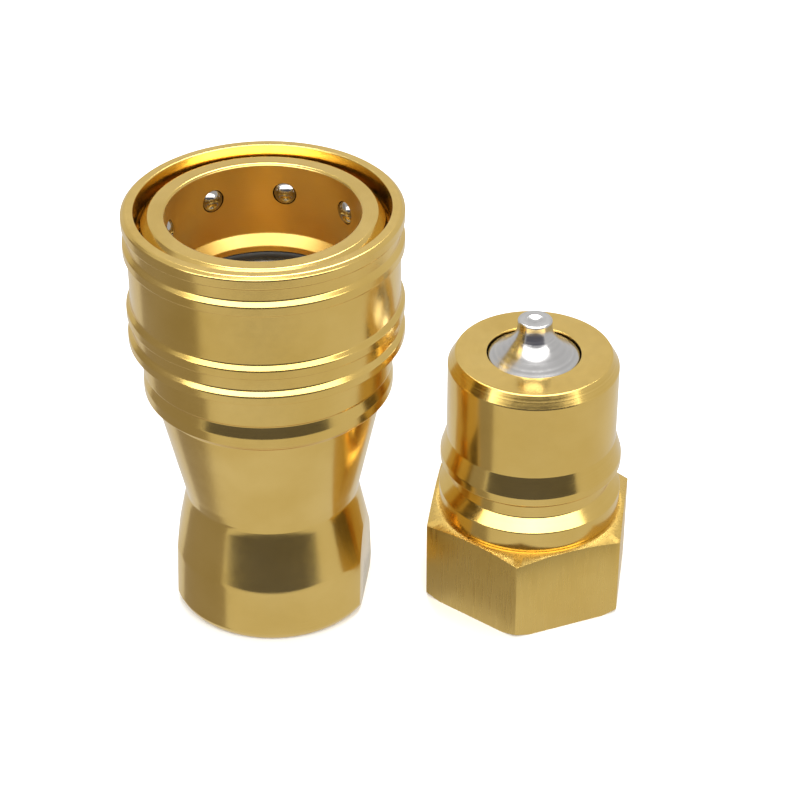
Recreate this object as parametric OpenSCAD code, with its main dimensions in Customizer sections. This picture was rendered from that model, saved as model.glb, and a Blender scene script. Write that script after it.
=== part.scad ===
// Poppet quick disconnect coupler, 1/2 inch size: a socket with a locking sleeve and a plug.
// The two halves stand side by side on their threaded ends. Millimetres, +Z up.
// The origin is on the floor, in the middle of the pair's bounding box.

/* [Layout] */
// Distance from the socket's axis to the plug's axis along X
plug_dx = 36.06; // [35:0.5:60]
// Distance from the socket's axis to the plug's axis along Y
plug_dy = 1.93; // [-3:0.5:3]
// Turn of the plug's hexagon about its axis, in degrees
hex_turn = -8.3; // [-30:1:30]

/* [Socket] */
// Height of the socket from its threaded end to its mouth
socket_h = 61.2; // [61:0.1:62]
// Radius over the sleeve's grip ridges
sleeve_r = 18.55; // [18.4:0.05:19]
// Radius of the bore that guides the plug's locking ring
guide_r = 12.8; // [12.75:0.05:12.9]
// Radius of the bore that seals on the plug's nose
seal_r = 11.8; // [11.79:0.01:11.85]
// Distance across the two wrench flats on the threaded end
flats_w = 26; // [25.5:0.1:27]

/* [Locking] */
// Number of locking balls
ball_n = 8; // [8:1:8]
// Diameter of a locking ball (5/32 inch)
ball_d = 3.969; // [3.9:0.01:4]
// Height of the balls' centres
ball_z = 56; // [55.8:0.1:56.2]
// Turn of the first ball about the socket's axis, from -Y, in degrees
ball_turn = 35; // [0:1:44]
// How far the sleeve draws back
sleeve_travel = 5; // [4:0.1:5]
// How far each ball moves outward in that travel
ball_travel = 0.56; // [0.5:0.01:0.56]

/* [Plug] */
// Height of the plug's nose face above its threaded end
plug_h = 37.4; // [37:0.1:37.8]
// Radius of the plug's nose
nose_r = 11.75; // [11.7:0.01:11.76]
// Radius of the plug's locking ring
ring_r = 12.6; // [12.5:0.05:12.7]
// Distance across the flats of the plug's hexagon
hex_w = 27; // [26.5:0.5:28]

/* [Ports] */
// Major radius of the G 1/2 female thread at each end
port_r = 10.478; // [10.4:0.001:10.5]
// Depth of each threaded port
port_h = 14; // [12:0.5:14]

/* [Valves] */
// Radius of each poppet's stem
stem_r = 2; // [1.8:0.1:2.1]
// Radius of each poppet's contact tip
tip_r = 2.35; // [2.2:0.05:2.5]
// Wire diameter of the two valve springs
valve_wire = 0.9; // [0.7:0.1:1]
// Wire diameter of the sleeve spring
sleeve_wire = 0.9; // [0.7:0.1:1]

/* [Hidden] */

$fn = 96;
gap = 0.04;                 // running gap between two parts that slide
rest_gap = 0.03;            // gap left where one part rests on another
over = 1;                   // how far a cutter runs past the face it cuts

hex_r = hex_w / 2 / cos(30);
hex_reach = hex_r * cos(30 + hex_turn);   // furthest the hexagon reaches along +X
pair_w = sleeve_r + plug_dx + hex_reach;
socket_x = sleeve_r - pair_w / 2;

ball_r = ball_d / 2;
body_r = 16.05;             // outside of the ball cage
land_r = body_r + gap + 0.01;
ball_ring_r = land_r - rest_gap - ball_r; // locked position of the balls' centres
release_r = 16.85;          // sleeve's bore in front of the locking land
ramp = ball_travel / sleeve_travel;       // how fast the sleeve's bore opens past the land
ramp_top = ball_z + 1.5;

mouth_z = socket_h - 0.75;  // the body's rim sits a little below the sleeve's
guide_end_z = 49.9;         // bottom of the guide bore
seal_top_z = 48.3;          // top of the seal bore
seal_end_z = 37.7;          // shoulder that the plug's nose face stops on
groove_z = [44.7, 47.5];    // seal groove in the body
groove_r = 13.6;
cage_z = 51;                // lower shoulder of the ball cage
spring_in_r = 14.5;         // body's outside under the sleeve spring
spring_out_r = 15.9;        // sleeve's bore round the spring
flange_z = [48.2, cage_z - 0.05];         // sleeve's inner flange
seat_flange_z = 37.5;       // adapter's shoulder under the sleeve spring
joint_z = 30;               // end of the body inside the adapter
joint_r = 12.55;            // body's end, screwed into the adapter
gasket_h = 0.5;
chamber_r = 8.6;            // flow chamber of the socket
guide_z = 21.8;             // ledge that the socket's valve guide stands on
guide_h = 2.2;
seat_z = 34.7;              // top of the socket's valve seat
seat_r = 6.2;               // opening of the socket's valve seat
socket_tip_z = 37.3;        // just below the shoulder, so a nose can seat there

plug_chamber_r = 8.2;       // flow chamber of the plug
collar_r = guide_r - 0.1;   // plug's collar, which just enters the guide bore
plug_seat_z = 35.5;
plug_seat_r = 6.45;
plug_tip_z = 42.7;
plug_guide_z = 17.1;
snap_h = 0.85;
chamfer = 0.6;              // entry chamfer of the ports

// ---- shared shapes ----

// One part of the socket, placed on its axis
module at_socket() translate([socket_x, 0, 0]) children();

// One part of the plug, placed on its axis
module at_plug() translate([socket_x + plug_dx, plug_dy, 0]) children();

// Solid of revolution from [radius, height] points
module turned(points) rotate_extrude() polygon(points);

// Points of an arc in the [radius, height] plane
function arc(c, r, from, to, steps = 8) =
    [for (i = [0 : steps]) let (a = from + (to - from) * i / steps) c + r * [cos(a), sin(a)]];

// A list in the opposite order
function reversed(list) = [for (i = [len(list) - 1 : -1 : 0]) list[i]];

// Threaded port with its entry chamfer, cut upwards from the floor
module port_cut() turned([
    [0, -over], [port_r + chamfer, -over], [port_r + chamfer, 0], [port_r, chamfer],
    [port_r, port_h], [0, port_h]]);

// Poppet valve: a tip, a hollow flare, a head that fills the opening, a 45 degree
// sealing cone, a spring boss and a stem that runs down through the guide
module poppet(tip_z, open_z, open_r, cone_r, stem_z) {
    flare_w = open_r - tip_r;
    neck_z = open_z + 1.4;
    flare_h = tip_z - 0.6 - neck_z;
    flare = [for (i = [0 : 12]) let (t = i / 12)
        [tip_r + flare_w * pow(1 - t, 2.3), neck_z + flare_h * t]];
    cone_z = open_z - (cone_r - open_r);
    turned(concat(
        [[0, stem_z], [stem_r - 0.4, stem_z], [stem_r, stem_z + 0.4], [stem_r, cone_z - 3.2],
         [4.3, cone_z - 3.2], [4.3, cone_z - 1.2], [cone_r, cone_z - 1.2], [cone_r, cone_z],
         [cone_r - 0.55, cone_z + 0.55], [cone_r - 0.55, cone_z - 0.2],
         [cone_r - 1.3, cone_z - 0.2], [cone_r - 1.3, cone_z + 1.3],
         [open_r, open_z], [open_r, neck_z - 0.35]],
        flare,
        [[tip_r, tip_z - 0.15], [tip_r - 0.15, tip_z], [0, tip_z]]));
}

// Bonded rubber ring that fills the pocket in a poppet's sealing cone
module poppet_seal(open_z, open_r, cone_r) {
    cone_z = open_z - (cone_r - open_r);
    turned([[cone_r - 1.3, cone_z - 0.2], [cone_r - 0.55, cone_z - 0.2],
            [cone_r - 0.55, cone_z + 0.56], [cone_r - 1.3, cone_z + 1.31]]);
}

// Valve guide: a disc bored for the stem, with a ring of drilled flow holes
module guide(rim_r, base_z) {
    flow_n = 6;
    flow_r = 1.75;
    flow_ring_r = 5.1;
    translate([0, 0, base_z]) difference() {
        cylinder(r = rim_r, h = guide_h);
        translate([0, 0, -over]) cylinder(r = stem_r + gap, h = guide_h + 2 * over);
        for (i = [0 : flow_n - 1]) rotate(360 / flow_n * i)
            translate([flow_ring_r, 0, -over]) cylinder(r = flow_r, h = guide_h + 2 * over);
    }
}

// Compression spring with closed ends: a round wire swept along its coil
module coil(coil_r, wire, low, high, turns) {
    sides = 8;
    per_turn = 28;
    closed = 0.85;          // turns at each end that lie flat
    rings = round(per_turn * turns);
    z0 = low + wire / 2;
    rise = high - low - wire;
    lead = wire * 1.08;     // rise of a closed turn
    function height(t) =
        t < closed ? lead * t
        : t > turns - closed ? rise - lead * (turns - t)
        : lead * closed + (rise - 2 * lead * closed) * (t - closed) / (turns - 2 * closed);
    points = [for (i = [0 : rings], k = [0 : sides - 1])
        let (t = turns * i / rings, a = 360 * t, b = 360 * (k + 0.5) / sides,
             r = coil_r + wire / 2 * cos(b))
        [r * cos(a), r * sin(a), z0 + height(t) + wire / 2 * sin(b)]];
    skin = [for (i = [0 : rings - 1], k = [0 : sides - 1])
        let (j = (k + 1) % sides)
        [i * sides + k, i * sides + j, (i + 1) * sides + j, (i + 1) * sides + k]];
    start_cap = [[for (k = [sides - 1 : -1 : 0]) k]];
    end_cap = [[for (k = [0 : sides - 1]) rings * sides + k]];
    polyhedron(points, [for (f = concat(skin, start_cap, end_cap)) reversed(f)],
               convexity = 10);
}

// ---- socket ----

// Hole for one ball: a bore with a narrower lip inside that keeps the ball in
module ball_hole(i) {
    lip_r = 1.62;
    hole_r = ball_r + 0.045;
    lip_end = 13.5;
    rotate(ball_turn + 360 / ball_n * i) translate([0, 0, ball_z]) rotate([90, 0, 0]) {
        translate([0, 0, guide_r - 0.6]) cylinder(r = lip_r, h = 0.61);
        translate([0, 0, guide_r]) cylinder(r1 = lip_r, r2 = hole_r, h = lip_end - guide_r);
        translate([0, 0, lip_end - 0.005]) cylinder(r = hole_r, h = body_r - lip_end + over);
    }
}

module socket_body() color("goldenrod") at_socket() difference() {
    turned([
        [chamber_r, joint_z], [joint_r - 0.5, joint_z], [joint_r, joint_z + 0.5],
        [joint_r, seat_flange_z], [spring_in_r, seat_flange_z], [spring_in_r, cage_z],
        [body_r, cage_z], [body_r, mouth_z - 1.05], [15.0, mouth_z], [13.05, mouth_z],
        [guide_r, mouth_z - 0.25], [guide_r, guide_end_z], [seal_r, seal_top_z],
        [seal_r, groove_z[1]], [groove_r, groove_z[1]], [groove_r, groove_z[0]],
        [seal_r, groove_z[0]], [seal_r, seal_end_z], [seat_r, seal_end_z], [seat_r, seat_z],
        [chamber_r, seat_z - (chamber_r - seat_r)]]);
    for (i = [0 : ball_n - 1]) ball_hole(i);
}

// Rear half: flange, waisted neck, flared end with two wrench flats, and the port
module socket_adapter() color("gold") at_socket() difference() {
    turned([
        [0, 0], [13.3, 0], [13.9, 0.35], [14.3, 1.2], [13.85, 8.2], [12.15, 16.4],
        [12.05, 17.2], [12.3, 18.6], [15.5, 33.2], [spring_out_r - gap, 33.6],
        [spring_out_r - gap, seat_flange_z], [0, seat_flange_z]]);
    port_cut();
    turned([[0, port_h - over], [7.4, port_h - over], [7.4, guide_z], [chamber_r, guide_z],
            [chamber_r, joint_z - gasket_h], [joint_r + gap, joint_z - gasket_h],
            [joint_r + gap, seat_flange_z + over], [0, seat_flange_z + over]]);
    for (side = [0, 180]) rotate(side - 7) translate([flats_w / 2, -sleeve_r, -over])
        cube([sleeve_r, 2 * sleeve_r, 14.6 + over]);
}

module joint_gasket() color("dimgray") at_socket() turned([
    [chamber_r + 0.3, joint_z - gasket_h], [joint_r - 0.5, joint_z - gasket_h],
    [joint_r - 0.5, joint_z], [chamber_r + 0.3, joint_z]]);

// Locking sleeve: four grip ridges outside; the release bore, the ramp, the locking
// land, the inner flange and the spring pocket inside
module sleeve() color("gold") at_socket() {
    grip_r = 18;
    tail_r = 16.9;
    tail_z = 34.2;
    rise = ramp * (ramp_top - ball_z) + rest_gap;
    turned(concat(
        [[spring_out_r, tail_z], [tail_r - 0.3, tail_z], [tail_r, tail_z + 0.3],
         [tail_r, 35.95], [16.45, 37.5], [tail_r, 37.9], [tail_r, 42.0],
         [sleeve_r, 42.3], [sleeve_r, 43.5], [grip_r, 44.3], [grip_r, 45.9]],
        [[sleeve_r, 46.2], [sleeve_r, 47.45], [grip_r, 48.2], [grip_r, 55.3],
         [sleeve_r, 55.6], [sleeve_r, 56.9], [grip_r, 57.6], [grip_r, 59.2],
         [sleeve_r, 59.5], [sleeve_r, socket_h - 0.4], [18.1, socket_h],
         [release_r + 0.1, socket_h], [release_r, socket_h - 0.1],
         [release_r, ramp_top + 0.6], [land_r + rise, ramp_top],
         [land_r, ball_z - 0.1], [land_r, flange_z[1]], [spring_in_r + 0.1, flange_z[1]],
         [spring_in_r + 0.1, flange_z[0]], [spring_out_r, flange_z[0]]]));
}

module sleeve_spring() color("silver") at_socket()
    coil((spring_in_r + spring_out_r) / 2, sleeve_wire,
         seat_flange_z + rest_gap, flange_z[0] - rest_gap, 4.5);

module ball(i) color("lightgray") at_socket()
    rotate(ball_turn + 360 / ball_n * i) translate([0, -ball_ring_r, ball_z])
        sphere(r = ball_r);

module nose_oring() color("black") at_socket() {
    section_r = 0.86;
    rotate_extrude() translate([seal_r + 0.05 + section_r, groove_z[1] - section_r - 0.02])
        circle(r = section_r, $fn = 32);
}

module backup_ring() color("ivory") at_socket() turned([
    [seal_r + 0.05, groove_z[0] + 0.02], [groove_r - 0.02, groove_z[0] + 0.02],
    [groove_r - 0.02, groove_z[0] + 0.98], [seal_r + 0.05, groove_z[0] + 0.98]]);

module socket_poppet() color("silver") at_socket()
    poppet(socket_tip_z, seat_z + 0.15, seat_r - 0.2, chamber_r - 0.8, 19.6);

module socket_poppet_seal() color("black") at_socket()
    poppet_seal(seat_z + 0.15, seat_r - 0.2, chamber_r - 0.8);

module socket_spring() color("silver") at_socket()
    coil(5.2, valve_wire, guide_z + guide_h + rest_gap,
         seat_z + 0.15 - (chamber_r - 0.8 - seat_r + 0.2) - 1.2 - rest_gap, 4.5);

module socket_guide() color("goldenrod") at_socket() guide(chamber_r - gap, guide_z);

// ---- plug ----

// Nose, locking ring, ball groove, collar and hexagon, bored for the valve and the port
module plug_body() color("goldenrod") at_plug() difference() {
    union() {
        intersection() {
            rotate(hex_turn - 90) cylinder(r = hex_r, h = 13, $fn = 6);
            turned([[0, 0], [hex_r - 1.0, 0], [hex_r + 0.02, 0.6], [hex_r + 0.02, 12.2],
                    [13.1, 13], [0, 13]]);
        }
        turned(concat(
            [[0, 12], [collar_r, 12], [collar_r, 16.05], [11.25, 17.7], [11.25, 19.5],
             [ring_r - 0.25, 20.3]],
            [[ring_r, 20.6], [ring_r, 21.75], [nose_r, 24.65], [nose_r, plug_h - 1.7],
             [10.75, plug_h], [0, plug_h]]));
    }
    port_cut();
    turned([[0, port_h - over], [plug_chamber_r, port_h - over],
            [plug_chamber_r, plug_guide_z - snap_h - 0.05],
            [plug_chamber_r + 0.8, plug_guide_z - snap_h - 0.05],
            [plug_chamber_r + 0.8, plug_guide_z], [plug_chamber_r, plug_guide_z],
            [plug_chamber_r, plug_seat_z - (plug_chamber_r - plug_seat_r)],
            [plug_seat_r, plug_seat_z], [plug_seat_r, plug_h + over], [0, plug_h + over]]);
}

module plug_poppet() color("silver") at_plug()
    poppet(plug_tip_z, plug_seat_z + 0.15, plug_seat_r - 0.2, plug_chamber_r - 0.5, 14.6);

module plug_poppet_seal() color("black") at_plug()
    poppet_seal(plug_seat_z + 0.15, plug_seat_r - 0.2, plug_chamber_r - 0.5);

module plug_spring() color("silver") at_plug()
    coil(5.2, valve_wire, plug_guide_z + guide_h + rest_gap,
         plug_seat_z + 0.15 - (plug_chamber_r - 0.5 - plug_seat_r + 0.2) - 1.2 - rest_gap, 6.5);

module plug_guide() color("goldenrod") at_plug() guide(plug_chamber_r - gap, plug_guide_z);

// Open ring that holds the guide against the spring
module plug_snap_ring() color("gray") at_plug() translate([0, 0, plug_guide_z - snap_h - 0.02])
    difference() {
        cylinder(r = plug_chamber_r + 0.75, h = snap_h);
        translate([0, 0, -over]) cylinder(r = plug_chamber_r - 1, h = snap_h + 2 * over);
        translate([0, -2, -over]) cube([plug_chamber_r + over, 4, snap_h + 2 * over]);
    }

socket_body();
socket_adapter();
joint_gasket();
sleeve();
sleeve_spring();
ball(0);  // ball_0
ball(1);  // ball_1
ball(2);  // ball_2
ball(3);  // ball_3
ball(4);  // ball_4
ball(5);  // ball_5
ball(6);  // ball_6
ball(7);  // ball_7
nose_oring();
backup_ring();
socket_poppet();
socket_poppet_seal();
socket_spring();
socket_guide();
plug_body();
plug_poppet();
plug_poppet_seal();
plug_spring();
plug_guide();
plug_snap_ring();
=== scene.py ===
"""Looks for the quick disconnect coupler: a socket and a plug, standing side by side."""

import math

import bmesh
import bpy
from mathutils import Matrix, Vector


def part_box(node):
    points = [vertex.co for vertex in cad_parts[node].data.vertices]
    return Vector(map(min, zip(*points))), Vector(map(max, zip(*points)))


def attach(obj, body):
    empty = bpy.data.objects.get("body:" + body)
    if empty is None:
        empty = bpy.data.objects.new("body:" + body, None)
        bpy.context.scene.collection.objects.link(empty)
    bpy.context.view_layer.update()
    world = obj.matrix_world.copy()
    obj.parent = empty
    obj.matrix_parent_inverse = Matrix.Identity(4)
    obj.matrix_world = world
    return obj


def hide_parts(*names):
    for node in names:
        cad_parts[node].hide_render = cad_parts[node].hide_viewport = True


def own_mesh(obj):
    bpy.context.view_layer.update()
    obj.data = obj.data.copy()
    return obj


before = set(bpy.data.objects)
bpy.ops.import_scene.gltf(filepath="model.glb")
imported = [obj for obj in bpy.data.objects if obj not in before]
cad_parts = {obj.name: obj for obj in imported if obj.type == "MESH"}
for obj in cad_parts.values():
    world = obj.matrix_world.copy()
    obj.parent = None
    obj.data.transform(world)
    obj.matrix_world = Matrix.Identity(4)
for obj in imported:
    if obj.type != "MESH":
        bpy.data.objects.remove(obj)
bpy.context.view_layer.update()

MM = 0.001


def middle(node):
    """Axis of a turned CAD node, in metres."""
    low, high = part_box(node)
    return Vector(((low[0] + high[0]) / 2, (low[1] + high[1]) / 2, 0))


SOCKET_AXIS = middle("sleeve")
PLUG_AXIS = middle("plug_poppet")
BALLS = [n for n in sorted(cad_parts) if n.startswith("ball_")]

# ---- camera ----

LENS_MM, SENSOR_MM = 109.36, 36
CAMERA_FROM_SOCKET = Vector((17.83, -276.80, 214.97)) * MM
CAMERA_PITCH = 33.63  # degrees below the horizon

camera_data = bpy.data.cameras.new("camera")
camera_data.lens = LENS_MM
camera_data.sensor_width = SENSOR_MM
camera_data.clip_start = 0.01
camera = bpy.data.objects.new("camera", camera_data)
camera.location = SOCKET_AXIS + CAMERA_FROM_SOCKET
camera.rotation_euler = (math.radians(90 - CAMERA_PITCH), 0, 0)
bpy.context.collection.objects.link(camera)
bpy.context.scene.camera = camera

# ---- materials ----

TOOL_MARK = 0.004 * MM  # height of the finest marks on machined metal
BORE_ROUGH = 0.22       # how much rougher a bore is than the turned outside


class Nodes:
    """A material's node tree, built with few words."""

    def __init__(self, name):
        self.material = bpy.data.materials.new(name)
        self.material.use_nodes = True
        self.tree = self.material.node_tree
        self.shader = self.tree.nodes["Principled BSDF"]

    def add(self, kind, settings=None, **inputs):
        node = self.tree.nodes.new(kind)
        for key, value in (settings or {}).items():
            setattr(node, key, value)
        for key, value in inputs.items():
            self.put(node.inputs[int(key[1:])], value)
        return node

    def put(self, socket, value):
        if isinstance(value, bpy.types.NodeSocket):
            self.tree.links.new(value, socket)
        else:
            socket.default_value = value

    def math(self, operation, a, b=0.0):
        return self.add("ShaderNodeMath", {"operation": operation}, _0=a, _1=b).outputs[0]

    def noise(self, vector, scale, detail=2.0):
        node = self.add("ShaderNodeTexNoise", None, _0=vector)
        node.inputs["Scale"].default_value = scale
        node.inputs["Detail"].default_value = detail
        return node.outputs["Fac"]

    def ramp(self, value, low, high):
        node = self.add("ShaderNodeMapRange", None, _0=value)
        spread = {"From Min": 0.3, "From Max": 0.7, "To Min": low, "To Max": high}
        for socket, number in spread.items():
            node.inputs[socket].default_value = number
        return node.outputs[0]

    def mix(self, value, dark, light):
        node = self.add("ShaderNodeMix", {"data_type": "RGBA"}, _0=value)
        node.inputs[6].default_value = (*dark, 1)
        node.inputs[7].default_value = (*light, 1)
        return node.outputs[2]

    def bump(self, height, strength, distance):
        node = self.add("ShaderNodeBump")
        node.inputs["Strength"].default_value = strength
        node.inputs["Distance"].default_value = distance
        self.put(node.inputs["Height"], height)
        self.put(self.shader.inputs["Normal"], node.outputs[0])


def turned_metal(name, axis, dark, light, rough, line_mm=0.09, line_depth=0.35, bore_mm=0):
    """Metal from a lathe: fine rings round the axis, a soft cloud of tarnish and small marks.

    Inside the radius bore_mm it is rougher.
    """
    n = Nodes(name)
    place = n.add("ShaderNodeTexCoord").outputs["Object"]
    centred = n.add("ShaderNodeVectorMath", {"operation": "SUBTRACT"}, _0=place, _1=axis)
    part = n.add("ShaderNodeSeparateXYZ", None, _0=centred.outputs[0])
    x, y, z = part.outputs
    square = n.math("ADD", n.math("MULTIPLY", x, x), n.math("MULTIPLY", y, y))
    radius = n.math("SQRT", square)
    along = n.math("ADD", radius, z)
    line = n.add("ShaderNodeTexNoise", {"noise_dimensions": "1D"})
    n.put(line.inputs["W"], along)
    line.inputs["Scale"].default_value = 1 / (line_mm * MM)
    line.inputs["Detail"].default_value = 3.0
    lines = line.outputs["Fac"]
    cloud = n.noise(place, 90.0, 3.0)
    speck = n.noise(place, 900.0, 2.0)
    tone = n.math("ADD", n.math("MULTIPLY", cloud, 0.7), n.math("MULTIPLY", lines, 0.3))
    n.put(n.shader.inputs["Base Color"], n.mix(n.ramp(tone, 0.0, 1.0), dark, light))
    worn = n.math("ADD", n.math("MULTIPLY", speck, 0.4), n.math("MULTIPLY", lines, 0.6))
    bore = n.math("MULTIPLY", n.math("LESS_THAN", radius, bore_mm * MM), BORE_ROUGH)
    n.put(n.shader.inputs["Roughness"], n.math("ADD", n.ramp(worn, rough[0], rough[1]), bore))
    n.shader.inputs["Metallic"].default_value = 1.0
    n.bump(lines, line_depth, TOOL_MARK)
    return n.material


def milled_metal(name, dark, light, rough):
    """Drawn bar stock: long faint streaks along Z and a cloud of tarnish."""
    n = Nodes(name)
    place = n.add("ShaderNodeTexCoord").outputs["Object"]
    stretched = n.add("ShaderNodeMapping", None, _0=place)
    stretched.inputs["Scale"].default_value = (1, 1, 0.08)
    streak = n.noise(stretched.outputs[0], 2600.0, 3.0)
    cloud = n.noise(place, 80.0, 3.0)
    n.put(n.shader.inputs["Base Color"], n.mix(n.ramp(cloud, 0.0, 1.0), dark, light))
    n.put(n.shader.inputs["Roughness"], n.ramp(streak, rough[0], rough[1]))
    n.shader.inputs["Metallic"].default_value = 1.0
    n.bump(streak, 0.2, TOOL_MARK)
    return n.material


def moulded(name, dark, light, rough):
    """Rubber or plastic: a fine grain and a slight change of tone."""
    n = Nodes(name)
    place = n.add("ShaderNodeTexCoord").outputs["Object"]
    grain = n.noise(place, 4000.0, 2.0)
    cloud = n.noise(place, 200.0, 2.0)
    n.put(n.shader.inputs["Base Color"], n.mix(n.ramp(cloud, 0.0, 1.0), dark, light))
    n.put(n.shader.inputs["Roughness"], n.ramp(grain, rough[0], rough[1]))
    n.bump(grain, 0.15, 2.5 * TOOL_MARK)
    return n.material


BRASS_DARK = (0.68, 0.455, 0.115)
BRASS_LIGHT = (0.80, 0.57, 0.19)
sleeve_brass = turned_metal("sleeve_brass", SOCKET_AXIS, BRASS_DARK, BRASS_LIGHT, (0.13, 0.24))
socket_brass = turned_metal("socket_brass", SOCKET_AXIS, BRASS_DARK, BRASS_LIGHT, (0.12, 0.21))
mouth_brass = turned_metal("mouth_brass", SOCKET_AXIS, BRASS_DARK, BRASS_LIGHT, (0.12, 0.21),
                           bore_mm=12.85)
plug_brass = turned_metal("plug_brass", PLUG_AXIS, BRASS_DARK, BRASS_LIGHT, (0.12, 0.22))
hex_brass = milled_metal("hex_brass", (0.66, 0.43, 0.10), (0.76, 0.53, 0.16), (0.24, 0.36))
guide_brass = milled_metal("guide_brass", (0.55, 0.34, 0.11), (0.66, 0.43, 0.16), (0.3, 0.45))
GREY = ((0.50, 0.49, 0.48), (0.64, 0.63, 0.62))
socket_steel = turned_metal("socket_steel", SOCKET_AXIS, *GREY, (0.16, 0.3), 0.12, 0.5)
plug_steel = turned_metal("plug_steel", PLUG_AXIS, *GREY, (0.14, 0.28), 0.12, 0.5)
ball_steel = milled_metal("ball_steel", (0.42, 0.40, 0.37), (0.52, 0.49, 0.46), (0.08, 0.15))
spring_steel = milled_metal("spring_steel", (0.40, 0.40, 0.41), (0.52, 0.52, 0.53), (0.22, 0.36))
snap_steel = milled_metal("snap_steel", (0.10, 0.10, 0.11), (0.17, 0.17, 0.18), (0.35, 0.5))
seal_rubber = moulded("seal_rubber", (0.012, 0.012, 0.013), (0.03, 0.03, 0.03), (0.42, 0.6))
backup_plastic = moulded("backup_plastic", (0.66, 0.63, 0.54), (0.76, 0.73, 0.66), (0.4, 0.55))

# ---- mesh tools ----

SEGMENTS = 256       # round a lathe's axis
ARC_STEPS = 3        # in each rounded corner
NEARLY_STRAIGHT = 168  # degrees: a wider corner isn't rounded
HOLD_MM, LONG_MM = 0.4, 2


def rounded(outline, radius, closed):
    """The outline with each corner turned into a small arc, in millimetres.

    A point just outside each end of an arc keeps the shading of the straight parts flat, and so
    does one on each long side of a corner that isn't rounded.
    """
    points = [Vector(p) for p in outline]
    count = len(points)
    result = []
    for i, corner in enumerate(points):
        if not closed and i in (0, count - 1):
            result.append(corner)
            continue
        before = points[i - 1] - corner
        after = points[(i + 1) % count] - corner
        back, ahead = before.normalized(), after.normalized()
        cut = min(radius, before.length * 0.45, after.length * 0.45)
        if math.degrees(before.angle(after)) > NEARLY_STRAIGHT or cut < 0.01:
            if before.length > LONG_MM:
                result.append(corner + back * HOLD_MM)
            result.append(corner)
            if after.length > LONG_MM:
                result.append(corner + ahead * HOLD_MM)
            continue
        start = corner + back * cut
        end = corner + ahead * cut
        result.append(corner + back * cut * 1.1)
        for step in range(ARC_STEPS + 1):
            t = step / ARC_STEPS
            result.append((1 - t) ** 2 * start + 2 * t * (1 - t) * corner + t * t * end)
        result.append(corner + ahead * cut * 1.1)
    return result


def finish_mesh(bm, name, smooth_angle=24):
    """Turns a bmesh into an object whose sharp edges stay sharp."""
    bmesh.ops.remove_doubles(bm, verts=bm.verts, dist=1e-8)
    bmesh.ops.recalc_face_normals(bm, faces=bm.faces)
    mesh = bpy.data.meshes.new(name)
    bm.to_mesh(mesh)
    bm.free()
    mesh.shade_smooth()
    mesh.set_sharp_from_angle(angle=math.radians(smooth_angle))
    obj = bpy.data.objects.new(name, mesh)
    bpy.context.collection.objects.link(obj)
    return obj


def lathe(name, axis, outline, radius=0.12, closed=True, segments=SEGMENTS):
    """A solid of revolution about axis from [radius, height] points in millimetres."""
    points = rounded(outline, radius, closed)
    bm = bmesh.new()
    rings = []
    for r, z in points:
        if r < 1e-6:
            rings.append([bm.verts.new(axis + Vector((0, 0, z)) * MM)] * segments)
            continue
        ring = []
        for k in range(segments):
            a = math.tau * k / segments
            spot = Vector((r * math.cos(a), r * math.sin(a), z))
            ring.append(bm.verts.new(axis + spot * MM))
        rings.append(ring)
    last = len(rings) if closed else len(rings) - 1
    for i in range(last):
        one, two = rings[i], rings[(i + 1) % len(rings)]
        for k in range(segments):
            j = (k + 1) % segments
            corners = list(dict.fromkeys((one[k], one[j], two[j], two[k])))
            if len(corners) > 2:
                bm.faces.new(corners)
    return finish_mesh(bm, name)


def tube(name, axis, path, radius, sides=16):
    """A round wire along a path of points in millimetres, closed at both ends."""
    bm = bmesh.new()
    rings = []
    for i, point in enumerate(path):
        ahead = (path[min(i + 1, len(path) - 1)] - path[max(i - 1, 0)]).normalized()
        out = Vector((point.x, point.y, 0)).normalized()
        up = ahead.cross(out).normalized()
        ring = []
        for k in range(sides):
            a = math.tau * k / sides
            spot = point + radius * (math.cos(a) * out + math.sin(a) * up)
            ring.append(bm.verts.new(axis + spot * MM))
        rings.append(ring)
    for one, two in zip(rings, rings[1:]):
        for k in range(sides):
            j = (k + 1) % sides
            bm.faces.new((one[k], one[j], two[j], two[k]))
    bm.faces.new(rings[0])
    bm.faces.new(rings[-1])
    return finish_mesh(bm, name, 40)


def cut(piece, cutters, operation="DIFFERENCE"):
    """Applies exact booleans to a piece and removes the cutters."""
    for cutter in cutters:
        change = piece.modifiers.new("cut", "BOOLEAN")
        change.operation = operation
        change.solver = "EXACT"
        change.object = cutter
        apply(piece)
        bpy.data.objects.remove(cutter)


def apply(piece):
    """Bakes a piece's modifiers into its mesh."""
    graph = bpy.context.evaluated_depsgraph_get()
    mesh = bpy.data.meshes.new_from_object(piece.evaluated_get(graph))
    piece.modifiers.clear()
    piece.data = mesh


def soften(piece, width_mm, angle=30):
    """Breaks the sharp edges that a cut has left."""
    bevel = piece.modifiers.new("bevel", "BEVEL")
    bevel.width = width_mm * MM
    bevel.segments = 2
    bevel.limit_method = "ANGLE"
    bevel.angle_limit = math.radians(angle)
    bevel.harden_normals = False
    apply(piece)
    piece.data.shade_smooth()
    piece.data.set_sharp_from_angle(angle=math.radians(28))


def dress(piece, material, slot, body, *nodes):
    """Gives a piece its material and its body and hides the CAD nodes that it stands for; slot is
    not used.
    """
    piece.data.materials.clear()
    piece.data.materials.append(material)
    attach(piece, body)
    if nodes:
        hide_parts(*nodes)
    return piece


# ---- socket ----

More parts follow.
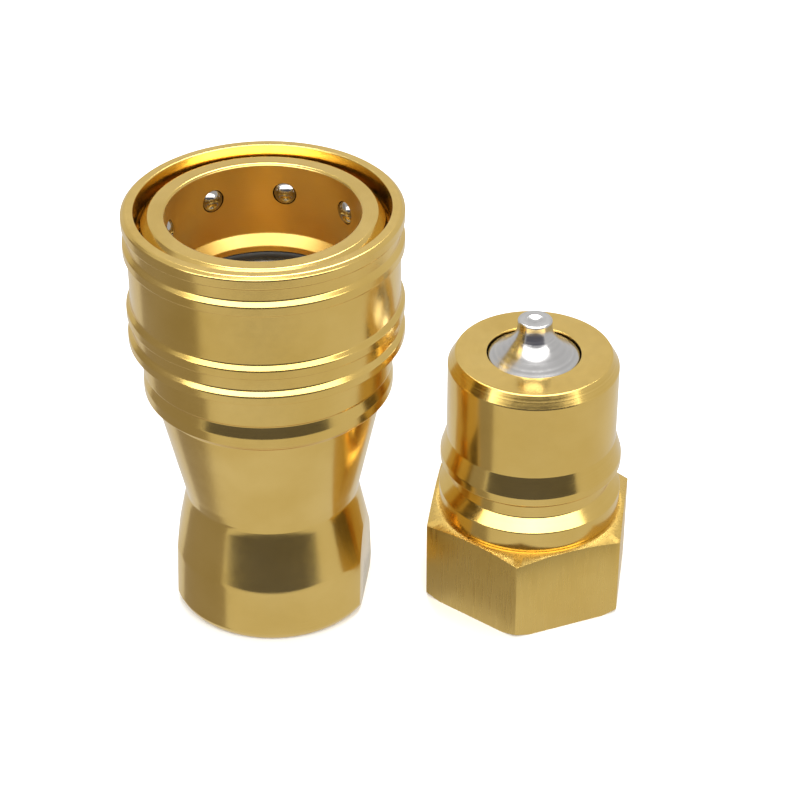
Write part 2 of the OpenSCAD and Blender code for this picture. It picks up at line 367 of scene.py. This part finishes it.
# Radii and heights in millimetres, the same as the CAD's
SLEEVE_TAIL_Z, SLEEVE_TOP_Z = 34.2, 61.2
TAIL_R, WALL_R, RIDGE_R = 16.9, 18.0, 18.55
FLANGE_R, LAND_R, RELEASE_R = 14.6, 16.1, 16.85
FLANGE_Z = (48.2, 50.95)
SPRING_IN_R, SPRING_OUT_R = 14.5, 15.9
GUIDE_R, BODY_R, SEAL_R, GROOVE_R = 12.8, 16.05, 11.8, 13.6
JOINT_R, JOINT_Z = 12.55, 30
CAGE_Z, MOUTH_Z, SEAT_FLANGE_Z = 51, 60.45, 37.5
SHOULDER_Z, SEAT_R, SEAT_Z, CHAMBER_R = 37.7, 6.2, 34.7, 8.6


def ridge(foot, brow, end):
    """Outline of a ridge round the sleeve, which leaves the wall at foot and rejoins it at end."""
    return [(WALL_R, foot), (RIDGE_R, foot + 0.3), (RIDGE_R, brow), (WALL_R, end)]


sleeve = lathe("sleeve_shell", SOCKET_AXIS, [
    (SPRING_OUT_R, SLEEVE_TAIL_Z), (TAIL_R - 0.3, SLEEVE_TAIL_Z), (TAIL_R, SLEEVE_TAIL_Z + 0.3),
    (TAIL_R, 35.95), (16.45, 37.5), (TAIL_R, 37.9), (TAIL_R, 42.0), *ridge(42.0, 43.5, 44.15)[1:],
    *ridge(45.9, 47.45, 48.05), *ridge(55.3, 56.9, 57.5), *ridge(59.2, 60.8, 61.2)[:-1],
    (WALL_R + 0.1, SLEEVE_TOP_Z), (RELEASE_R + 0.1, SLEEVE_TOP_Z), (RELEASE_R, 61.1),
    (RELEASE_R, 58.1), (16.3, 57.5), (LAND_R, 55.9), (LAND_R, FLANGE_Z[1]),
    (FLANGE_R, FLANGE_Z[1]), (FLANGE_R, FLANGE_Z[0]), (SPRING_OUT_R, FLANGE_Z[0])], 0.14)
dress(sleeve, sleeve_brass, "brass_sleeve", "sleeve", "sleeve")

socket_front = lathe("socket_front", SOCKET_AXIS, [
    (CHAMBER_R, JOINT_Z), (JOINT_R - 0.5, JOINT_Z), (JOINT_R, JOINT_Z + 0.5),
    (JOINT_R, SEAT_FLANGE_Z), (SPRING_IN_R, SEAT_FLANGE_Z), (SPRING_IN_R, CAGE_Z),
    (BODY_R, CAGE_Z), (BODY_R, 59.4), (15.0, MOUTH_Z), (GUIDE_R + 0.25, MOUTH_Z),
    (GUIDE_R, MOUTH_Z - 0.25), (GUIDE_R, 49.9), (SEAL_R, 48.3), (SEAL_R, 47.5),
    (GROOVE_R, 47.5), (GROOVE_R, 44.7), (SEAL_R, 44.7), (SEAL_R, SHOULDER_Z),
    (SEAT_R, SHOULDER_Z), (SEAT_R, SEAT_Z), (CHAMBER_R, SEAT_Z - CHAMBER_R + SEAT_R)], 0.12)

BALL_R = 3.969 / 2
HOLE_R = 2.03  # round a ball
LIP_R = 1.62   # the narrowest part of a ball's hole, which keeps the ball in


def ball_hole(spot):
    """Cutter for the hole that a ball at spot sits in: a bore with a narrower lip."""
    out = (Vector((spot.x, spot.y, 0)) - SOCKET_AXIS).normalized()
    turn = Vector((0, 0, 1)).rotation_difference(out).to_matrix().to_4x4()
    hole = lathe("hole", Vector((0, 0, 0)), [
        (0, GUIDE_R - 0.6), (LIP_R + 0.1, GUIDE_R - 0.6), (LIP_R, GUIDE_R), (HOLE_R, 13.5),
        (HOLE_R, BODY_R + 1), (0, BODY_R + 1)], 0, False, 48)
    hole.data.transform(turn)
    hole.data.transform(Matrix.Translation(SOCKET_AXIS + Vector((0, 0, spot.z))))
    return hole


ball_spots = {}
for name in BALLS:
    low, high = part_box(name)
    ball_spots[name] = (Vector(low) + Vector(high)) / 2
cut(socket_front, [ball_hole(spot) for spot in ball_spots.values()])
socket_front.data.shade_smooth()
socket_front.data.set_sharp_from_angle(angle=math.radians(24))
dress(socket_front, mouth_brass, "brass_body", "socket", "socket_body")

for name, spot in ball_spots.items():
    bm = bmesh.new()
    bmesh.ops.create_icosphere(bm, subdivisions=5, radius=BALL_R * MM,
                               matrix=Matrix.Translation(spot))
    ball = finish_mesh(bm, name.replace("_", "_steel_"), 60)
    dress(ball, ball_steel, "ball_steel", name, name)

PORT_R, PORT_H, ENTRY = 10.478, 14, 0.6
REAR_R = SPRING_OUT_R - 0.04
socket_rear = lathe("socket_rear", SOCKET_AXIS, [
    (PORT_R + ENTRY, 0), (13.3, 0), (13.9, 0.35), (14.3, 1.2), (13.85, 8.2), (12.15, 16.4),
    (12.05, 17.2), (12.3, 18.6), (15.5, 33.2), (REAR_R, 33.6), (REAR_R, SEAT_FLANGE_Z),
    (JOINT_R + 0.04, SEAT_FLANGE_Z), (JOINT_R + 0.04, JOINT_Z - 0.5), (CHAMBER_R, JOINT_Z - 0.5),
    (CHAMBER_R, 21.8), (7.4, 21.8), (7.4, PORT_H), (PORT_R, PORT_H), (PORT_R, ENTRY)], 0.25)

FLAT_APART, FLAT_TOP, FLAT_TURN = 26, 14.6, -7
BLOCK = Vector((20, 40, 16.6))
flats = []
for side in (0, 180):
    bm = bmesh.new()
    bmesh.ops.create_cube(bm, size=1)
    block = finish_mesh(bm, "block")
    size = Matrix.Diagonal((*(BLOCK * MM), 1))
    centre = Vector(((FLAT_APART + BLOCK.x) / 2, 0, FLAT_TOP - BLOCK.z / 2))
    block.data.transform(Matrix.Translation(centre * MM) @ size)
    block.data.transform(Matrix.Rotation(math.radians(side + FLAT_TURN), 4, "Z"))
    block.data.transform(Matrix.Translation(SOCKET_AXIS))
    flats.append(block)
cut(socket_rear, flats)
soften(socket_rear, 0.1, 14)
dress(socket_rear, socket_brass, "brass_body", "socket", "socket_adapter")

SECTION_R, SECTION_SIDES = 0.86, 24
section_centre = Vector((12.71, 46.62))
section = []
for k in range(SECTION_SIDES):
    a = math.tau * k / SECTION_SIDES
    section.append(section_centre + SECTION_R * Vector((math.cos(a), math.sin(a))))
oring = lathe("nose_seal", SOCKET_AXIS, section, 0)
dress(oring, seal_rubber, "seal_rubber", "socket", "nose_oring")

# ---- valves ----


STEM_R, TIP_R, BOSS_R = 2, 2.35, 4.3
FLARE_STEPS, FLARE_POWER = 40, 2.3
POCKET = (0.55, 1.3)  # how far the two walls of the seal's pocket are inside the cone's edge


def poppet(name, axis, tip_z, open_z, open_r, cone_r, stem_z):
    """A valve poppet: tip, hollow flare, sealing cone with a seal pocket, boss and stem."""
    neck_z = open_z + 1.4
    flare_h = tip_z - 0.6 - neck_z
    cone_z = open_z - (cone_r - open_r)
    boss_z, plate_z = cone_z - 3.2, cone_z - 1.2
    outer_r, inner_r = cone_r - POCKET[0], cone_r - POCKET[1]
    flare = []
    for i in range(FLARE_STEPS + 1):
        t = i / FLARE_STEPS
        flare.append((TIP_R + (open_r - TIP_R) * (1 - t) ** FLARE_POWER, neck_z + flare_h * t))
    outline = [
        (0, stem_z), (STEM_R - 0.4, stem_z), (STEM_R, stem_z + 0.4), (STEM_R, boss_z),
        (BOSS_R, boss_z), (BOSS_R, plate_z), (cone_r, plate_z), (cone_r, cone_z),
        (outer_r, cone_z + POCKET[0]), (outer_r, cone_z - 0.2), (inner_r, cone_z - 0.2),
        (inner_r, cone_z + POCKET[1]), (open_r, open_z), (open_r, neck_z - 0.35), *flare,
        (TIP_R, tip_z - 0.15), (TIP_R - 0.15, tip_z), (1.1, tip_z), (0.35, tip_z - 0.22),
        (0, tip_z - 0.25)]
    return lathe(name, axis, outline, 0.1, False)


WIRE = 0.9         # diameter of every spring's wire
END_TURN = 0.85    # how much of a turn lies flat at each end
END_LEAD = 1.08    # rise of an end turn, in wires
PER_TURN = 64


def spring(name, axis, coil_r, low, high, turns):
    """A compression spring whose end turns lie flat."""
    lead = WIRE * END_LEAD
    rise = high - low - WIRE
    open_rise = rise - 2 * lead * END_TURN
    path = []
    for i in range(round(PER_TURN * turns) + 1):
        t = i / PER_TURN
        if t < END_TURN:
            z = lead * t
        elif t > turns - END_TURN:
            z = rise - lead * (turns - t)
        else:
            z = lead * END_TURN + open_rise * (t - END_TURN) / (turns - 2 * END_TURN)
        a = math.tau * t
        path.append(Vector((coil_r * math.cos(a), coil_r * math.sin(a), low + WIRE / 2 + z)))
    return tube(name, axis, path, WIRE / 2)


def add_spring(name, axis, coil_r, low, high, turns, body, node):
    """Makes and dresses a spring and gives it a mesh of its own."""
    piece = spring(name, axis, coil_r, low, high, turns)
    dress(piece, spring_steel, "spring_steel", body, node)
    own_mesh(piece)


def seal_ring(name, axis, open_z, open_r, cone_r):
    """The rubber ring bonded into a poppet's sealing cone."""
    cone_z = open_z - (cone_r - open_r)
    outer_r, inner_r = cone_r - POCKET[0], cone_r - POCKET[1]
    return lathe(name, axis, [
        (inner_r, cone_z - 0.2), (outer_r, cone_z - 0.2), (outer_r, cone_z + POCKET[0] + 0.01),
        (inner_r, cone_z + POCKET[1] + 0.01)], 0.05)


# Height and radius of each cone's top, and the radius of its edge
socket_valve = (34.85, 6.0, 7.8)
plug_valve = (35.65, 6.25, 7.7)
dress(poppet("socket_valve_poppet", SOCKET_AXIS, 37.3, *socket_valve, 19.6),
      socket_steel, "poppet_steel", "socket_valve", "socket_poppet")
dress(seal_ring("socket_valve_seal", SOCKET_AXIS, *socket_valve),
      seal_rubber, "seal_rubber", "socket_valve", "socket_poppet_seal")
dress(poppet("plug_valve_poppet", PLUG_AXIS, 42.7, *plug_valve, 14.6),
      plug_steel, "poppet_steel", "plug_valve", "plug_poppet")
dress(seal_ring("plug_valve_seal", PLUG_AXIS, *plug_valve),
      seal_rubber, "seal_rubber", "plug_valve", "plug_poppet_seal")

VALVE_COIL_R = 5.2
add_spring("sleeve_coil", SOCKET_AXIS, (SPRING_IN_R + SPRING_OUT_R) / 2, 37.53, 48.17, 4.5,
           "socket", "sleeve_spring")
add_spring("socket_valve_coil", SOCKET_AXIS, VALVE_COIL_R, 24.03, 31.82, 4.5,
           "socket", "socket_spring")
add_spring("plug_valve_coil", PLUG_AXIS, VALVE_COIL_R, 19.33, 32.97, 6.5,
           "plug", "plug_spring")

# ---- plug ----

NOSE_R, RING_R, COLLAR_R, BALL_GROOVE_R = 11.75, 12.6, 12.7, 11.25
PLUG_H, HEX_H = 37.4, 13.0
PLUG_CHAMBER_R, PLUG_SEAT_R, PLUG_SEAT_Z = 8.2, 6.45, 35.5
CLIP_R, CLIP_Z = 9.0, (16.2, 17.1)  # groove of the snap ring

plug_front = lathe("plug_front", PLUG_AXIS, [
    (PLUG_CHAMBER_R, PORT_H), (COLLAR_R, HEX_H), (COLLAR_R, 16.05), (BALL_GROOVE_R, 17.7),
    (BALL_GROOVE_R, 19.5), (RING_R - 0.25, 20.3), (RING_R, 20.6), (RING_R, 21.75),
    (NOSE_R, 24.65), (NOSE_R, PLUG_H - 1.7), (NOSE_R - 1, PLUG_H), (PLUG_SEAT_R, PLUG_H),
    (PLUG_SEAT_R, PLUG_SEAT_Z), (PLUG_CHAMBER_R, PLUG_SEAT_Z - PLUG_CHAMBER_R + PLUG_SEAT_R),
    (PLUG_CHAMBER_R, CLIP_Z[1]), (CLIP_R, CLIP_Z[1]), (CLIP_R, CLIP_Z[0]),
    (PLUG_CHAMBER_R, CLIP_Z[0])], 0.1)
dress(plug_front, plug_brass, "brass_body", "plug", "plug_body")

HEX_W, HEX_TURN = 27, -8.3
hex_r = HEX_W / 2 / math.cos(math.pi / 6)
plug_hex = lathe("plug_hex", PLUG_AXIS, [
    (PORT_R + ENTRY, 0), (hex_r - 1.0, 0), (hex_r + 0.02, 0.6), (hex_r + 0.02, HEX_H - 0.8),
    (13.1, HEX_H), (PLUG_CHAMBER_R, HEX_H), (PLUG_CHAMBER_R, PORT_H), (PORT_R, PORT_H),
    (PORT_R, ENTRY)], 0)
bm = bmesh.new()
bmesh.ops.create_cone(bm, cap_ends=True, segments=6, radius1=hex_r * MM, radius2=hex_r * MM,
                      depth=20 * MM)
prism = finish_mesh(bm, "prism")
corner_turn = math.radians(HEX_TURN - 90)
first = math.atan2(prism.data.vertices[0].co.y, prism.data.vertices[0].co.x)
prism.data.transform(Matrix.Rotation(corner_turn - first, 4, "Z"))
prism.data.transform(Matrix.Translation(PLUG_AXIS + Vector((0, 0, 6 * MM))))
cut(plug_hex, [prism], "INTERSECT")
soften(plug_hex, 0.16, 12)
dress(plug_hex, hex_brass, "brass_body", "plug", "plug_body")

# ---- port threads ----


PITCH, THREAD_DEPTH = 1.814, 1.16
THREAD_Z = (0.9, 13.0)
THREAD_STEPS = 72       # in a turn
RUN_OUT = 0.25          # turns over which each end of the ridge fades
ROOT_R = PORT_R + 0.02  # sunk a little into the port's wall


def thread(name, axis):
    """The ridge of a G 1/2 female thread, tapering out at both ends."""
    count = round((THREAD_Z[1] - THREAD_Z[0]) / PITCH * THREAD_STEPS)
    bm = bmesh.new()
    rings = []
    for i in range(count + 1):
        a = math.tau * i / THREAD_STEPS
        z = THREAD_Z[0] + PITCH * i / THREAD_STEPS
        full = max(0.02, min(1, min(i, count - i) / THREAD_STEPS / RUN_OUT))
        crest = ROOT_R - THREAD_DEPTH * full
        half = PITCH * 0.46 * full
        ring = []
        for r, dz in ((ROOT_R, -half), (crest, -half * 0.16), (crest, half * 0.16), (ROOT_R, half)):
            spot = Vector((r * math.cos(a), r * math.sin(a), z + dz))
            ring.append(bm.verts.new(axis + spot * MM))
        rings.append(ring)
    for one, two in zip(rings, rings[1:]):
        for k in range(4):
            j = (k + 1) % 4
            bm.faces.new((one[k], one[j], two[j], two[k]))
    bm.faces.new(rings[0])
    bm.faces.new(rings[-1])
    return finish_mesh(bm, name, 40)


dress(thread("socket_thread", SOCKET_AXIS), socket_brass, "brass_body", "socket")
dress(thread("plug_thread", PLUG_AXIS), plug_brass, "brass_body", "plug")

# ---- CAD nodes that keep their shape ----

for name, material in {
    "socket_guide": guide_brass, "plug_guide": guide_brass, "plug_snap_ring": snap_steel,
    "backup_ring": backup_plastic, "joint_gasket": seal_rubber,
}.items():
    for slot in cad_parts[name].material_slots:
        slot.material = material

# ---- studio ----

AIM = Vector((0, 0, 0.03))  # point between the two halves that the lights face


def card(name, size, place, look_at, colour):
    """A flat panel that the metal reflects and the camera doesn't see."""
    bm = bmesh.new()
    bmesh.ops.create_grid(bm, x_segments=1, y_segments=1, size=0.5)
    panel = finish_mesh(bm, name)
    panel.scale = (size[0], size[1], 1)
    panel.location = place
    panel.rotation_euler = (Vector(look_at) - Vector(place)).to_track_quat("Z", "Y").to_euler()
    material = bpy.data.materials.new(name)
    material.use_nodes = True
    shader = material.node_tree.nodes["Principled BSDF"]
    shader.inputs["Base Color"].default_value = (0, 0, 0, 1)
    shader.inputs["Roughness"].default_value = 1.0
    shader.inputs["Emission Color"].default_value = (*colour, 1)
    shader.inputs["Emission Strength"].default_value = 1.0
    panel.data.materials.append(material)
    panel.visible_camera = False
    panel.visible_shadow = False
    panel.visible_diffuse = False


def soft_light(name, place, size, power):
    """A rectangular soft box that faces the coupler."""
    data = bpy.data.lights.new(name, "AREA")
    data.shape = "RECTANGLE"
    data.size, data.size_y = size
    data.energy = power
    lamp = bpy.data.objects.new(name, data)
    lamp.location = place
    lamp.rotation_euler = (AIM - Vector(place)).to_track_quat("-Z", "Y").to_euler()
    bpy.context.collection.objects.link(lamp)


FLOOR_SIZE = 4
PAPER_DARK, PAPER_LIGHT = (0.89, 0.89, 0.89), (0.91, 0.91, 0.91)
bm = bmesh.new()
bmesh.ops.create_grid(bm, x_segments=1, y_segments=1, size=FLOOR_SIZE)
floor = finish_mesh(bm, "floor")
paper = Nodes("paper")
paper_place = paper.add("ShaderNodeTexCoord").outputs["Object"]
tone = paper.ramp(paper.noise(paper_place, 40.0), 0.0, 1.0)
paper.put(paper.shader.inputs["Base Color"], paper.mix(tone, PAPER_DARK, PAPER_LIGHT))
paper.shader.inputs["Roughness"].default_value = 0.9
floor.data.materials.append(paper.material)
floor.visible_glossy = False  # the metal reflects the white world and the cards instead

world = bpy.data.worlds.new("studio")
world.use_nodes = True
world.node_tree.nodes["Background"].inputs["Color"].default_value = (1, 1, 1, 1)
world.node_tree.nodes["Background"].inputs["Strength"].default_value = 0.75
bpy.context.scene.world = world
bpy.context.scene.view_settings.view_transform = "Standard"

soft_light("front_top", place=(0, -0.54, 0.66), size=(2.4, 0.44), power=12)
soft_light("top", place=(0.05, 0.35, 0.8), size=(0.5, 0.5), power=7)
card("dark_front", size=(1.7, 0.67), place=(0, -0.62, 0.07), look_at=(0, 0, 0.07),
     colour=(0.12, 0.12, 0.15))
card("grey_left", size=(1.0, 1.5), place=(-0.8, 0.0, -0.1), look_at=AIM,
     colour=(0.36, 0.33, 0.30))
